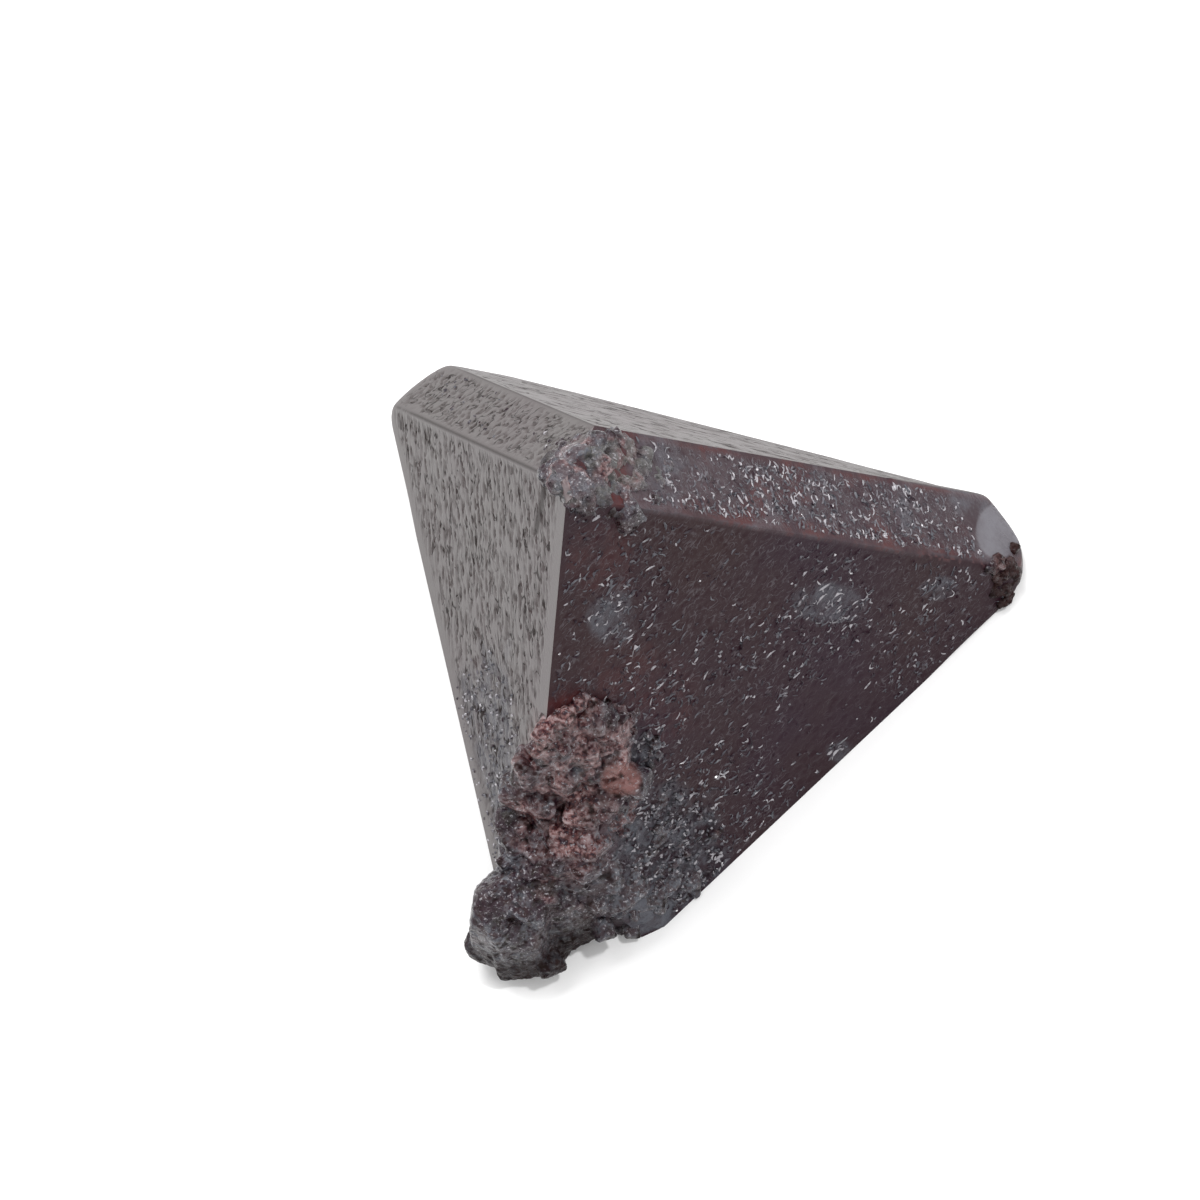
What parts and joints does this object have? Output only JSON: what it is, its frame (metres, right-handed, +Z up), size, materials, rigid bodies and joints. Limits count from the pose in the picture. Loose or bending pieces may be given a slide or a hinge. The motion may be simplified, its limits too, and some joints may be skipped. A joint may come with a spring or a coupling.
{
  "type": "zunyite crystal",
  "caption": "Loose tetrahedral zunyite crystal with bevelled edges, cut corners, etched faces and a broken, lumpy tip; a display or collection mineral specimen.",
  "frame": {"origin": "middle of the footprint's box, on the plane of the face that the crystal rests on", "axes": "+X along the crystal's longest extent, from the left corner to the right corner; +Y away from the broken tip; +Z up from the resting face to the top corner"},
  "size_m": [0.0126, 0.0116, 0.0112],
  "materials": {
    "zunyite": "vitreous, finely etched"
  },
  "bodies": {
    "root": {"zunyite_crystal": "zunyite"}
  },
  "joints": []
}
